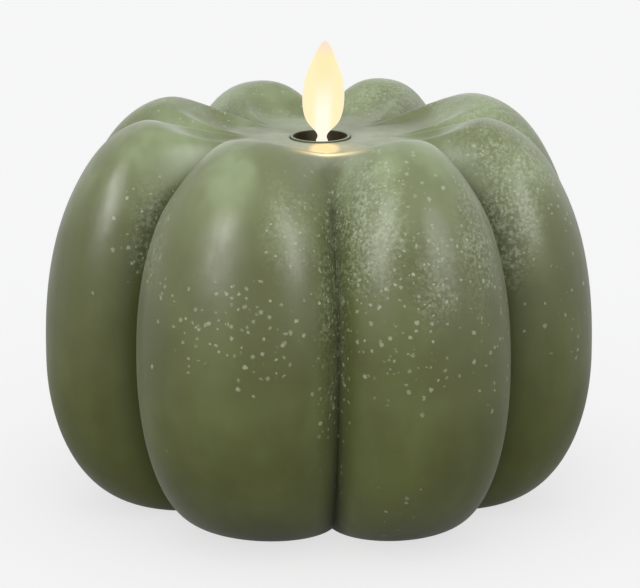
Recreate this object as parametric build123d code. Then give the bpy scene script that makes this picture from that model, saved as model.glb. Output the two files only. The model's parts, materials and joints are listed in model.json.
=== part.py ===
from build123d import *
import math
import os

# Flameless wax pumpkin candle with a swinging flame.
# Origin at the centre of the foot plane under the wick hole, +Z up, the front at -Y.

# --- Wax pumpkin ------------------------------------------------------------------
SKIN_SHIFT_X = 0.85          # the moulded skin sits a little to one side of the wick hole
LOBE_R = 80.0                # widest radius on a lobe's ridge
RIDGE = dict(eq=44.0, wide=LOBE_R, crest_r=48.0, crest_z=112.0, up=(1.8, 2.37), foot_r=50.0,
             flat_r=29.0)
GROOVE = dict(eq=54.5, wide=63.2, crest_r=25.0, crest_z=104.2, up=(2.17, 2.33), foot_r=38.7,
              flat_r=19.0)
DOWN = (2.3, 2.0)            # roundness of the lower half, radial and vertical
DISH_R = 7.0                 # where the skin ends, inside the wick hole
DISH_END_DROP = 0.2          # how far it has turned down by then
DISH_Z = 103.8               # flat middle of the dish, inside each line's flat_r
NOTCH = 0.9                  # nearer to 1, a sharper groove between two lobes
SOFT_FROM = 40.0             # upper steps, in degrees, over which the sharp groove
SOFT_TO = 72.0               # turns into a soft valley
GROOVE_AZIMUTHS = [2.7, 50.1, 91.8, 137.9, 180.2, 228.6, 269.3, 308.8]
GROOVE_BOWS = [0.9, 0.3, 0.0, -0.6, 0.8, 0.0, 0.5, -1.2]   # degrees, at half height
LOBE_SWELL = [0.05, -0.03, 0.06, 0.03, -0.065, 0.0, 0.15, -0.04]
ACROSS = [-1.0, -0.94, -0.82, -0.5, 0.0, 0.5, 0.82, 0.94]
LOWER_STEPS = [0, 5, 14, 28, 44, 60, 76]
UPPER_STEPS = [0, 18, 36, 53, 67, 79, 90]
DISH_STEPS = [0.16, 0.32, 0.48, 0.66, 0.84]

CEILING_Z = 94.0             # top of the hollow
HOLLOW_R = 54.0
HOLLOW_MID_Z = 55.0
HOLE_R = 8.7                 # wick hole
RECESS_R = 36.0              # pocket in the foot for the base plate
RECESS_Z = 3.4
BORE_R = 34.8                # bore for the base housing
BORE_TOP_Z = 29.0

# --- Flame mechanism --------------------------------------------------------------
RIM_Z = 104.2
COLLAR_R = 8.65
COLLAR_IN_R = 7.75
COLLAR_FOOT_Z = 91.5
PIVOT_Z = 88.5
FLAME_LEAN = 2.0             # degrees to the right at rest
FLAME_H = 27.4               # visible height over the rim
FLAME_LENS_R = 26.0          # radius of the blade's two faces
FLAME_HALF_T = 1.0
STEM_W = 3.0
STEM_T = 2.0
EYE_R = 2.1
WIRE_R = 0.4
WIRE_FIT = 0.05
MAGNET_R = 4.0
MAGNET_T = 5.0
MAGNET_TOP = 10.5            # below the pivot

MODULE_W = 24.0
MODULE_WALL = 1.6
MODULE_Z0 = 26.0
MODULE_Z1 = 91.0
NECK_R = 10.8
SHELF_Z = 60.4
LUG_X = 14.0
LUG_R = 2.4
LUG_Z = (40.0, 80.0)
SCREW_R = 0.95
LUG_HALF = 3.0
SLOT_X = 5.0
SLOT_Y = 1.5
KEEPER_GAP = 0.3

LED_Y = 4.6
LED_TILT = 13.0
LED_SEAT_Z = 93.0
LED_R = 1.5

BOBBIN_Z = 62.0
BOBBIN_H = 8.5
BOBBIN_R = 7.5
COIL_R = 6.5
HUB_R = 2.5
HUB_BORE_R = 1.5
FLANGE_T = 1.0

BOARD_Y = 8.2                # front face of the upright board
BOARD_T = 1.6
BOARD_W = 17.0
BOARD_Z0 = 34.0
BOARD_Z1 = 84.0

# --- Base ---------------------------------------------------------------------------
PLATE_R = 35.7
PLATE_Z0 = 1.0
PLATE_Z1 = 3.0
CUP_R = 34.4
CUP_WALL = 1.4
DECK_Z = 26.0                # top of the cup, under the module
BAY_X = 28.0                 # half length of the battery bay
BAY_Y = 15.6
BAY_TOP = 19.0
BAY_WALL = 1.2
DOOR_X = 29.7
DOOR_HINGE_X = 29.3          # where the door ends at its hinge, short enough to swing clear
DOOR_Y = 17.3
DOOR_T = 1.55
DOOR_GAP = 0.3
HINGE_X = -31.2
HINGE_Z = 2.0
KNUCKLE_R = 0.85
KNUCKLE_W = 5.0
KNUCKLE_Y = 10.0
PINTLE_R = 0.5
PINTLE_FIT = 0.06
PINTLE_L = 1.0
BASE_SCREWS = [(-19.0, -23.5), (19.0, -23.5), (-19.0, 23.5), (19.0, 23.5)]
SCREW_BOSS_R = 2.4
BASE_HEAD_R = 2.2
LEAD_PORT_R = 4.5
LEAD_PORT_Y = 5.0

CELL_R = 7.25
CELL_L = 50.5
CELL_Y = 7.6
CELL_Z = 10.4
NUB_R = 2.75
NUB_L = 1.0
CONTACT_T = 0.4
SPRING_WIRE_R = 0.35

SWITCH_Y = 25.0
SWITCH_TRAVEL = 5.0
SWITCH_L = 14.0
SWITCH_W = 7.0
SWITCH_H = 5.0
SWITCH_BOARD_Z = PLATE_Z1 + SWITCH_H
SWITCH_BOARD_T = 1.2
SWITCH_POST_X = 9.3
LEAD_R = 0.6


# --- Small helpers --------------------------------------------------------------------
def block(x0, x1, y0, y1, z0, z1):
    solid = Box(x1 - x0, y1 - y0, z1 - z0)
    return Pos((x0 + x1) / 2, (y0 + y1) / 2, (z0 + z1) / 2) * solid


def rod(radius, z0, z1, x=0.0, y=0.0):
    return Pos(x, y, (z0 + z1) / 2) * Cylinder(radius, z1 - z0)


def rod_y(radius, y0, y1, x, z):
    return Pos(x, (y0 + y1) / 2, z) * Rot(90, 0, 0) * Cylinder(radius, y1 - y0)


def rod_x(radius, x0, x1, y, z):
    return Pos((x0 + x1) / 2, y, z) * Rot(0, 90, 0) * Cylinder(radius, x1 - x0)


def save(name, shape):
    if isinstance(shape, Solid):
        solid = shape
    else:
        solids = shape.solids()
        if len(solids) != 1:
            raise ValueError(f"{name} has {len(solids)} solids")
        solid = solids[0]
    solid.label = name
    export_step(solid, f"parts/{name}.step")


# --- Wax pumpkin ------------------------------------------------------------------------
def lower(line, step):
    a = math.radians(step)
    r = line["foot_r"] + (line["wide"] - line["foot_r"]) * math.sin(a) ** (2 / DOWN[0])
    z = line["eq"] * (1 - max(math.cos(a), 0.0) ** (2 / DOWN[1]))
    return r, z


def upper(line, step):
    a = math.radians(step)
    up_r, up_z = line["up"]
    r = line["crest_r"] + (line["wide"] - line["crest_r"]) * max(math.cos(a), 0.0) ** (2 / up_r)
    z = line["eq"] + (line["crest_z"] - line["eq"]) * math.sin(a) ** (2 / up_z)
    return r, z


def dish(line, step):
    r = line["crest_r"] + (DISH_R - line["crest_r"]) * step
    way = (line["crest_r"] - r) / (line["crest_r"] - line["flat_r"])
    fall = (1 - math.cos(math.pi * min(way, 1.0))) / 2
    z = line["crest_z"] + (DISH_Z - line["crest_z"]) * fall
    return r, z


def swell(across, soft):
    """How far out and how far up a lobe stands, from 0 in the groove to 1 on the ridge."""
    edge = math.sqrt(1 - NOTCH ** 2)
    sharp = (math.sqrt(1 - (NOTCH * across) ** 2) - edge) / (1 - edge)
    square = across ** 2
    soft_out = 1 - square ** 2 * (3 - 2 * square)
    soft_up = (1 - square) ** 2 * (1 + square)
    return sharp + (soft_out - sharp) * soft, sharp + (soft_up - sharp) * soft


def skin_ring(ridge, groove, soft=0.0):
    points = []
    bend = math.sin(math.pi * min(groove[1] / GROOVE["crest_z"], 1.0))
    azimuths = [a + bow * bend for a, bow in zip(GROOVE_AZIMUTHS, GROOVE_BOWS)]
    azimuths.append(azimuths[0] + 360)
    for i in range(len(GROOVE_AZIMUTHS)):
        start = azimuths[i]
        stop = azimuths[i + 1]
        for across in ACROSS:
            out, up = swell(across, soft)
            r = groove[0] + (ridge[0] - groove[0]) * out * (1 + LOBE_SWELL[i])
            z = groove[1] + (ridge[1] - groove[1]) * up
            azimuth = math.radians(start + (stop - start) * (across + 1) / 2)
            points.append(Vector(SKIN_SHIFT_X + r * math.sin(azimuth), -r * math.cos(azimuth), z))
    steps = [k / len(points) for k in range(len(points) + 1)]
    return Wire([Edge.make_spline(points, periodic=True, parameters=steps)])


def softness(step):
    ramp = min(max((step - SOFT_FROM) / (SOFT_TO - SOFT_FROM), 0.0), 1.0)
    return ramp ** 2 * (3 - 2 * ramp)


def wax_body():
    rings = [skin_ring(lower(RIDGE, step), lower(GROOVE, step)) for step in LOWER_STEPS]
    for step in UPPER_STEPS:
        rings.append(skin_ring(upper(RIDGE, step), upper(GROOVE, step), softness(step)))
    rings += [skin_ring(dish(RIDGE, step), dish(GROOVE, step), 1.0) for step in DISH_STEPS]
    end = (DISH_R, DISH_Z - DISH_END_DROP)
    rings.append(skin_ring(end, end, 1.0))
    skin = Solid.make_loft(rings)
    outline = (
        Polyline((0, -1), (RECESS_R, -1), (RECESS_R, RECESS_Z), (BORE_R, RECESS_Z),
                 (BORE_R, BORE_TOP_Z), (HOLLOW_R, HOLLOW_MID_Z))
        + ThreePointArc((HOLLOW_R, HOLLOW_MID_Z), (47.0, 80.0), (26.0, CEILING_Z))
        + Polyline((26.0, CEILING_Z), (0, CEILING_Z), (0, -1))
    )
    hollow = revolve(Plane.XZ * make_face(outline), Axis.Z)
    return skin - hollow - rod(HOLE_R, CEILING_Z - 1, RIM_Z + 10)


# --- Flame and its pivot ------------------------------------------------------------------
def flame_collar():
    tube = rod(COLLAR_R, COLLAR_FOOT_Z, RIM_Z) - rod(COLLAR_IN_R, COLLAR_FOOT_Z - 1, RIM_Z + 1)
    return fillet(tube.edges().group_by(Axis.Z)[-1], 0.25)


def lean(shape):
    return Pos(0, 0, PIVOT_Z) * Rot(0, FLAME_LEAN, 0) * Pos(0, 0, -PIVOT_Z) * shape


def flame_paddle():
    side = [(1.7, -1.5), (1.5, 0.7), (2.8, 2.2), (4.55, 4.2), (5.4, 6.2), (6.0, 10.6),
            (5.8, 14.3), (4.8, 18.3), (3.2, 22.3), (1.7, 25.6), (0, FLAME_H)]
    right = [(x, RIM_Z + h) for x, h in side]
    left = [(-x, z) for x, z in reversed(right[:-1])]
    outline = Spline(*right, *left) + Line(left[-1], right[0])
    blade = extrude(Plane.XZ * make_face(outline), FLAME_HALF_T * 2, both=True)
    face_offset = FLAME_LENS_R - FLAME_HALF_T
    for sign in (-1, 1):
        blade &= rod(FLAME_LENS_R, RIM_Z - 5, RIM_Z + FLAME_H + 5, 0, sign * face_offset)
    stem_top = RIM_Z - 1.5
    tail_foot = PIVOT_Z - MAGNET_TOP
    stem = block(-STEM_W / 2, STEM_W / 2, -STEM_T / 2, STEM_T / 2, tail_foot, stem_top)
    eye = rod_y(EYE_R, -STEM_T / 2, STEM_T / 2, 0, PIVOT_Z)
    pad = rod(MAGNET_R - 0.6, tail_foot, tail_foot + 1.2)
    paddle = blade + stem + eye + pad
    paddle -= rod_y(WIRE_R + WIRE_FIT, -STEM_T, STEM_T, 0, PIVOT_Z)
    return lean(paddle)


def flame_magnet():
    top = PIVOT_Z - MAGNET_TOP
    return lean(rod(MAGNET_R, top - MAGNET_T, top))


def pivot_wire():
    reach = MODULE_W / 2 - MODULE_WALL + 0.9
    return rod_y(WIRE_R, -reach, reach, 0, PIVOT_Z)


# --- Module shells ----------------------------------------------------------------------------
def module_shell():
    half = MODULE_W / 2
    inner = half - MODULE_WALL
    box = block(-half, half, -half, half, MODULE_Z0, MODULE_Z1)
    box = fillet(box.edges().filter_by(Axis.Z), 2.0)
    shell = box + rod(NECK_R, MODULE_Z1, CEILING_Z)
    for x in (-LUG_X, LUG_X):
        for z in LUG_Z:
            shell += rod_y(LUG_R, -LUG_HALF, LUG_HALF, x, z)
            side = math.copysign(1, x)
            edge = (half - 1) * side
            shell += block(min(edge, x), max(edge, x), -LUG_HALF, LUG_HALF, z - LUG_R, z + LUG_R)
    shell -= block(-inner, inner, -inner, inner, MODULE_Z0 + MODULE_WALL, MODULE_Z1 - MODULE_WALL)
    shell -= rod(COLLAR_IN_R, MODULE_Z1, CEILING_Z + 1)
    shell -= rod(COLLAR_R, COLLAR_FOOT_Z, CEILING_Z + 1)
    shell -= block(-SLOT_X, SLOT_X, -SLOT_Y, SLOT_Y, MODULE_Z1 - 5, MODULE_Z1 + 1)
    shell += block(-inner, inner, -inner, BOARD_Y - 0.3, SHELF_Z, BOBBIN_Z)
    shell -= rod(LEAD_PORT_R, MODULE_Z0 - 1, MODULE_Z0 + MODULE_WALL + 1, 0, LEAD_PORT_Y)
    keeper_in = STEM_T / 2 + KEEPER_GAP
    for sign in (-1, 1):
        near = sign * keeper_in
        far = sign * 3.4
        shell += block(-2.0, 2.0, min(near, far), max(near, far), PIVOT_Z - 1.8, MODULE_Z1 - 0.4)
        wall = sign * (inner - 1.2)
        edge = sign * (inner + 0.2)
        shell += block(-2.0, 2.0, min(wall, edge), max(wall, edge), PIVOT_Z - 1.8, MODULE_Z1 - 0.4)
    reach = inner + 0.9
    shell -= rod_y(WIRE_R, -reach, reach, 0, PIVOT_Z)
    for x in (-LUG_X, LUG_X):
        for z in LUG_Z:
            shell -= rod_y(SCREW_R + 0.1, -LUG_HALF - 1, 0, x, z)
            shell -= rod_y(SCREW_R + 0.01, 0, LUG_HALF - 0.55, x, z)
    return shell


def module_shell_front(shell):
    half = MODULE_W
    return shell & block(-half, half, -half, 0, MODULE_Z0, CEILING_Z)


def module_shell_rear(shell):
    half = MODULE_W
    inner = MODULE_W / 2 - MODULE_WALL
    rear = shell & block(-half, half, 0, half, MODULE_Z0, CEILING_Z)
    for x in (-6.5, 6.5):
        rear += block(x - 0.8, x + 0.8, BOARD_Y + BOARD_T, inner + 0.2, BOARD_Z0 + 2, BOARD_Z1 - 2)
    seat = led_place() * rod(2.4, -6.0, 0.0)
    seat &= block(-4, 4, SLOT_Y, 8, MODULE_Z1 - 0.4, CEILING_Z + 2)
    rear += seat
    for x in (-1.27, 1.27):
        rear -= rod(0.4, MODULE_Z1 - 4, LED_SEAT_Z + 2, x, LED_Y)
    return rear


def pan_screw(head_r, head_h, length):
    shank = rod(SCREW_R, 0, length)
    head = rod(head_r, -head_h, 0)
    head = fillet(head.edges().group_by(Axis.Z)[0], 0.35)
    cross = block(-head_r * 0.6, head_r * 0.6, -0.2, 0.2, -head_h - 0.1, -head_h + 0.5)
    cross += Rot(0, 0, 90) * cross
    return head + shank - cross


def module_screws():
    places = [(x, z) for z in LUG_Z for x in (-LUG_X, LUG_X)]
    screw = pan_screw(1.8, 1.2, LUG_HALF * 2 - 0.6)
    return [Pos(x, -LUG_HALF, z) * Rot(-90, 0, 0) * screw for x, z in places]


# --- Light, coil and board -----------------------------------------------------------------------
def led_place():
    return Pos(0, LED_Y, LED_SEAT_Z) * Rot(LED_TILT, 0, 0)


def led():
    body = rod(LED_R, 0, 3.8) + Pos(0, 0, 3.8) * Sphere(LED_R) + rod(1.9, 0, 1.0)
    return led_place() * body


def led_leg(x):
    route = FilletPolyline((x, LED_Y, LED_SEAT_Z), (x, LED_Y, 86.5), (x, BOARD_Y - 0.25, 83.5),
                           (x, BOARD_Y - 0.25, 80.0), radius=1.0)
    return sweep(Plane(route @ 0, z_dir=route % 0) * Circle(0.25), path=route)


def coil_bobbin():
    top = BOBBIN_Z + BOBBIN_H
    spool = rod(BOBBIN_R, BOBBIN_Z, BOBBIN_Z + FLANGE_T) + rod(BOBBIN_R, top - FLANGE_T, top)
    return spool + rod(HUB_R, BOBBIN_Z, top) - rod(HUB_BORE_R, BOBBIN_Z - 1, top + 1)


def coil_winding():
    z0 = BOBBIN_Z + FLANGE_T
    z1 = BOBBIN_Z + BOBBIN_H - FLANGE_T
    return rod(COIL_R, z0, z1) - rod(HUB_R, z0 - 1, z1 + 1)


def coil_lead(x, z):
    start = math.sqrt(COIL_R ** 2 - x ** 2)
    return rod_y(0.2, start - 0.05, BOARD_Y, x, z)


def control_board():
    board = block(-BOARD_W / 2, BOARD_W / 2, BOARD_Y, BOARD_Y + BOARD_T, BOARD_Z0, BOARD_Z1)
    return fillet(board.edges().filter_by(Axis.Y), 0.8)


def driver_chip():
    body = block(-2.5, 2.5, BOARD_Y - 1.6, BOARD_Y - 0.15, 48.0, 52.0)
    for x in (-1.9, -0.63, 0.63, 1.9):
        body += block(x - 0.2, x + 0.2, BOARD_Y - 0.5, BOARD_Y, 46.8, 53.2)
    return body


def reservoir_capacitor():
    can = rod_y(2.5, BOARD_Y - 6.0, BOARD_Y, 5.0, 41.0)
    return fillet(can.edges().group_by(Axis.Y)[0], 0.4)


def board_resistor(index):
    x = -5.5
    z = 44.0 + 3.0 * index
    return block(x - 1.0, x + 1.0, BOARD_Y - 0.6, BOARD_Y, z - 0.6, z + 0.6)


# --- Base housing ---------------------------------------------------------------------------------
def knuckle_cuts():
    cuts = []
    for y in (-KNUCKLE_Y, KNUCKLE_Y):
        half = KNUCKLE_W / 2 + DOOR_GAP
        back = HINGE_X - KNUCKLE_R - DOOR_GAP
        cuts.append(block(back, -DOOR_X, y - half, y + half, PLATE_Z0 - 1, PLATE_Z1 + 1))
        reach = KNUCKLE_W / 2 + PINTLE_L + 0.1
        cuts.append(rod_y(PINTLE_R + PINTLE_FIT, y - reach, y + reach, HINGE_X, HINGE_Z))
    return cuts


def base_plate():
    plate = rod(PLATE_R, PLATE_Z0, PLATE_Z1)
    outer_x = BAY_X + BAY_WALL
    outer_y = BAY_Y + BAY_WALL
    bay = block(-outer_x, outer_x, -outer_y, outer_y, PLATE_Z1 - 0.5, BAY_TOP + BAY_WALL)
    bay = fillet(bay.edges().filter_by(Axis.Z), 2.4)
    plate += bay
    for x in (-SWITCH_POST_X, SWITCH_POST_X):
        plate += rod(2.0, PLATE_Z1 - 0.5, SWITCH_BOARD_Z, x, SWITCH_Y)
    plate -= block(-BAY_X, BAY_X, -BAY_Y, BAY_Y, PLATE_Z0 - 1, BAY_TOP)
    rebate_x = DOOR_X + DOOR_GAP
    rebate_y = DOOR_Y + DOOR_GAP
    plate -= block(-rebate_x, rebate_x, -rebate_y, rebate_y, PLATE_Z0 - 1, PLATE_Z0 + DOOR_T + 0.05)
    for cut in knuckle_cuts():
        plate -= cut
    plate -= block(BAY_X - 0.5, DOOR_X - 0.1, -4.0, 4.0, PLATE_Z0, 7.6)
    plate -= rod(6.0, PLATE_Z0 - 1, PLATE_Z0 + 0.9, DOOR_X - 1.0, 0) & block(0, 40, -6, 6, 0, 5)
    plate -= block(-4.4, 4.4, SWITCH_Y - 1.9, SWITCH_Y + 1.9, PLATE_Z0 - 1, PLATE_Z1 + 1)
    plate -= block(-7.5, 7.5, SWITCH_Y - 4, SWITCH_Y + 4, PLATE_Z0 - 1, PLATE_Z0 + 0.8)
    for x in (-SWITCH_POST_X, SWITCH_POST_X):
        plate -= rod(SCREW_R, SWITCH_BOARD_Z - 4.4, SWITCH_BOARD_Z + 1, x, SWITCH_Y)
    for x, y in BASE_SCREWS:
        plate -= rod(SCREW_R + 0.2, PLATE_Z0 - 1, PLATE_Z1 + 1, x, y)
        plate -= rod(BASE_HEAD_R + 0.2, PLATE_Z0 - 1, PLATE_Z0 + 1.2, x, y)
    for y in (-CELL_Y, CELL_Y):
        plate -= block(BAY_X - CONTACT_T - 0.1, BAY_X, y - 1.8, y + 1.8, BAY_TOP - 1, BAY_TOP + 2)
    return plate


def base_cover():
    inner = CUP_R - CUP_WALL
    deck = DECK_Z - MODULE_WALL
    cup = rod(CUP_R, PLATE_Z1, DECK_Z)
    cup = fillet(cup.edges().group_by(Axis.Z)[-1], 1.5)
    cup -= rod(inner, PLATE_Z1 - 1, deck)
    for x, y in BASE_SCREWS:
        cup += rod(SCREW_BOSS_R, PLATE_Z1, deck + 0.5, x, y) & rod(inner + 0.5, 0, DECK_Z)
        cup -= rod(SCREW_R, PLATE_Z1 - 1, PLATE_Z1 + 8, x, y)
    socket_in = MODULE_W / 2 + 0.1
    socket_out = socket_in + 1.5
    socket = block(-socket_out, socket_out, -socket_out, socket_out, DECK_Z - 0.5, DECK_Z + 5)
    socket -= block(-socket_in, socket_in, -socket_in, socket_in, DECK_Z, DECK_Z + 6)
    cup += socket
    return cup - rod(LEAD_PORT_R, DECK_Z - 5, DECK_Z + 1, 0, LEAD_PORT_Y)


def base_screws():
    screw = pan_screw(BASE_HEAD_R, 1.0, 7.5)
    return [Pos(x, y, PLATE_Z0 + 1.2) * screw for x, y in BASE_SCREWS]


def battery_door():
    door = block(-DOOR_HINGE_X, DOOR_X, -DOOR_Y, DOOR_Y, PLATE_Z0, PLATE_Z0 + DOOR_T)
    door = fillet(door.edges().filter_by(Axis.Z), 0.8)
    for y in (-KNUCKLE_Y, KNUCKLE_Y):
        half = KNUCKLE_W / 2
        door += rod_y(KNUCKLE_R, y - half, y + half, HINGE_X, HINGE_Z)
        neck_z1 = PLATE_Z0 + DOOR_T
        door += block(HINGE_X, 1 - DOOR_HINGE_X, y - half, y + half, HINGE_Z - 0.5, neck_z1)
        reach = half + PINTLE_L
        door += rod_y(PINTLE_R, y - reach, y + reach, HINGE_X, HINGE_Z)
    root = PLATE_Z0 + DOOR_T - 0.3
    door += block(28.3, 29.1, -3.2, 3.2, root, 6.6)
    nose = Polyline((29.0, 3.2), (29.45, 3.2), (29.0, 4.6), (29.0, 3.2))
    door += extrude(Plane.XZ * make_face(nose), 3.2, both=True)
    for k in range(5):
        x = 18.0 + 1.8 * k
        door -= block(x, x + 0.7, -6.0, 6.0, PLATE_Z0 - 1, PLATE_Z0 + 0.3)
    return door


# --- Cells and contacts --------------------------------------------------------------------------
def cell(flip):
    tip = BAY_X - CONTACT_T
    body = rod_x(CELL_R, tip - CELL_L, tip - NUB_L, 0, 0)
    body = fillet(body.edges().filter_by(GeomType.CIRCLE), 0.5)
    body += rod_x(NUB_R, tip - NUB_L - 0.5, tip, 0, 0)
    turn = Rot(0, 0, 180) if flip else Rot(0, 0, 0)
    return Pos(0, CELL_Y if flip else -CELL_Y, CELL_Z) * turn * body


def end_contact(y):
    x0 = BAY_X - CONTACT_T
    plate = block(x0, BAY_X, y - 5.2, y + 5.2, 5.4, 16.0)
    plate = fillet(plate.edges().filter_by(Axis.X), 1.2)
    return plate + block(x0, BAY_X, y - 1.5, y + 1.5, 15.5, BAY_TOP + BAY_WALL + 1.6)


def contact_bridge():
    strip = block(-BAY_X, CONTACT_T - BAY_X, -CELL_Y - 5.2, CELL_Y + 5.2, 5.4, 16.0)
    return fillet(strip.edges().filter_by(Axis.X), 1.2)


def contact_spring(sign, y):
    gap = 2 * (BAY_X - CONTACT_T) - CELL_L
    length = gap - 2 * SPRING_WIRE_R
    start = sign * (BAY_X - CONTACT_T - SPRING_WIRE_R)
    coil = Helix(pitch=length / 2.5, height=length, radius=4.3, cone_angle=-18)
    wire = sweep(Plane(coil @ 0, z_dir=coil % 0) * Circle(SPRING_WIRE_R), path=coil, is_frenet=True)
    return Pos(start, y, CELL_Z) * Rot(0, -90 * sign, 0) * wire


# --- Switch --------------------------------------------------------------------------------------
def switch_body():
    body = block(-SWITCH_L / 2, SWITCH_L / 2, -SWITCH_W / 2, SWITCH_W / 2, 0, SWITCH_H)
    body -= block(-5.0, 5.0, -2.4, 2.4, 0.6, 3.0)
    body -= block(-4.3, 4.3, -1.8, 1.8, -1, 1)
    return Pos(0, SWITCH_Y, PLATE_Z1) * body


def switch_knob():
    post = block(-1.5, 1.5, -1.5, 1.5, -2.4, 2.6)
    post = fillet(post.edges().group_by(Axis.Z)[0], 0.3)
    knob = post + block(-2.2, 2.2, -2.1, 2.1, 0.9, 2.6)
    return Pos(-SWITCH_TRAVEL / 2, SWITCH_Y, PLATE_Z1) * knob


def switch_board():
    z1 = SWITCH_BOARD_Z + SWITCH_BOARD_T
    board = block(-12.5, 12.5, SWITCH_Y - 5.5, SWITCH_Y + 4.5, SWITCH_BOARD_Z, z1)
    board = fillet(board.edges().filter_by(Axis.Z), 1.0)
    for x in (-SWITCH_POST_X, SWITCH_POST_X):
        board -= rod(SCREW_R, SWITCH_BOARD_Z - 1, z1 + 1, x, SWITCH_Y)
    return board


def switch_screws():
    screw = Rot(180, 0, 0) * pan_screw(1.7, 1.0, 5.0)
    z = SWITCH_BOARD_Z + SWITCH_BOARD_T
    return [Pos(x, SWITCH_Y, z) * screw for x in (-SWITCH_POST_X, SWITCH_POST_X)]


def timer_chip():
    z0 = SWITCH_BOARD_Z + SWITCH_BOARD_T
    body = block(-2.5, 2.5, -2.0, 2.0, 0.15, 1.6)
    for x in (-1.9, -0.63, 0.63, 1.9):
        body += block(x - 0.2, x + 0.2, -3.0, 3.0, 0, 0.5)
    return Pos(0, SWITCH_Y - 1.5, z0) * body


# --- Leads ---------------------------------------------------------------------------------------
def lead(points):
    radii = []
    for a, b, c in zip(points, points[1:], points[2:]):
        first = Vector(b) - Vector(a)
        second = Vector(c) - Vector(b)
        half_turn = math.radians(first.get_angle(second)) / 2
        radii.append(0.45 * min(first.length, second.length) / math.tan(half_turn))
    print("lead bends", [round(radius, 1) for radius in radii])
    route = FilletPolyline(*points, radius=radii)
    tube = sweep(Plane(route @ 0, z_dir=route % 0) * Circle(LEAD_R), path=route)
    expected = math.pi * LEAD_R ** 2 * route.length
    print("lead volume over section times length", round(tube.volume / expected, 3))
    return tube


def module_lead(x):
    board_top = SWITCH_BOARD_Z + SWITCH_BOARD_T
    y = BOARD_Y - LEAD_R
    return lead([(x, y, 39.0), (x, y, 34.0), (x, 6.0, 30.0), (x, 6.0, 25.5), (x * 1.1, 9.0, 22.6),
                 (x * 1.7, 14.0, 22.5), (x * 2.4, 19.0, 21.5), (x * 2.8, 21.4, 17.0),
                 (x * 2.8, 21.6, board_top)])


def battery_lead(y, x_end):
    board_top = SWITCH_BOARD_Z + SWITCH_BOARD_T
    x0 = BAY_X - CONTACT_T - LEAD_R
    z = BAY_TOP + BAY_WALL + LEAD_R + 0.2
    mid_x = (x0 + x_end) / 2 + 2.0
    return lead([(x0, y, z), (x0 - 4.0, y + 1.5, z), (mid_x, (y + 19.0) / 2 + 1.0, z + 0.4),
                 (x_end + 1.0, 17.0, z + 0.3), (x_end, 22.0, 17.5), (x_end, 22.4, 13.2),
                 (x_end, 22.4, board_top)])


def main():
    os.makedirs("parts", exist_ok=True)
    save("wax_body", wax_body())
    save("flame_collar", flame_collar())
    save("flame_paddle", flame_paddle())
    save("flame_magnet", flame_magnet())
    save("pivot_wire", pivot_wire())
    shell = module_shell()
    save("module_shell_front", module_shell_front(shell))
    save("module_shell_rear", module_shell_rear(shell))
    for number, screw in enumerate(module_screws(), 1):
        save(f"module_screw_{number}", screw)
    save("led", led())
    for number, x in enumerate((-1.27, 1.27), 1):
        save(f"led_leg_{number}", led_leg(x))
    save("coil_bobbin", coil_bobbin())
    save("coil_winding", coil_winding())
    save("coil_lead_1", coil_lead(-2.0, 65.0))
    save("coil_lead_2", coil_lead(2.0, 67.5))
    save("control_board", control_board())
    save("driver_chip", driver_chip())
    save("reservoir_capacitor", reservoir_capacitor())
    for number in (1, 2, 3):
        save(f"board_resistor_{number}", board_resistor(number))
    save("base_plate", base_plate())
    save("base_cover", base_cover())
    for number, screw in enumerate(base_screws(), 1):
        save(f"base_screw_{number}", screw)
    save("battery_door", battery_door())
    save("battery_a", cell(flip=False))
    save("battery_b", cell(flip=True))
    save("contact_positive", end_contact(-CELL_Y))
    save("contact_negative", end_contact(CELL_Y))
    save("contact_bridge", contact_bridge())
    save("spring_negative", contact_spring(1, CELL_Y))
    save("spring_bridge", contact_spring(-1, -CELL_Y))
    save("switch_body", switch_body())
    save("switch_knob", switch_knob())
    save("switch_board", switch_board())
    for number, screw in enumerate(switch_screws(), 1):
        save(f"switch_screw_{number}", screw)
    save("timer_chip", timer_chip())
    save("lead_module_positive", module_lead(2.0))
    save("lead_module_negative", module_lead(-2.0))
    save("lead_battery_positive", battery_lead(-CELL_Y, 8.0))
    save("lead_battery_negative", battery_lead(CELL_Y, 11.0))


main()
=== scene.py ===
import bpy
import json
import math
from mathutils import Vector, Matrix


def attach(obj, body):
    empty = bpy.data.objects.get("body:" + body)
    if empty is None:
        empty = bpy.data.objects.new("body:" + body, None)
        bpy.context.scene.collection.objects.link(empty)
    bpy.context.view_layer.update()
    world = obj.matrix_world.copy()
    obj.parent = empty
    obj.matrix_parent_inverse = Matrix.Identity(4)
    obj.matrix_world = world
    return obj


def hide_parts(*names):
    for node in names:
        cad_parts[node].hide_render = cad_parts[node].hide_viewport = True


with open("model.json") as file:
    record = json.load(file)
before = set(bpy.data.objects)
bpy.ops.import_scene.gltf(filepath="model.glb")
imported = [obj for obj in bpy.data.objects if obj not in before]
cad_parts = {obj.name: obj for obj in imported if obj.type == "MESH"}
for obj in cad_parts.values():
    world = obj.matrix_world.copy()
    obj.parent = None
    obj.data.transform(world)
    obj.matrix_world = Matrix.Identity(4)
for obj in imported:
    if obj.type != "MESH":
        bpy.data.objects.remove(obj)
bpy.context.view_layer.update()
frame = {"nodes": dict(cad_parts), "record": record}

MM = 0.001
NODES = frame["nodes"]

# ---------------------------------------------------------------- the wax skin
# the same surface as the CAD's, in millimetres
SKIN_SHIFT_X = 0.85
SKIN_INSET = 0.04            # keeps the finer mesh inside the CAD's own facets
LOBE_R = 80.0
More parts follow.
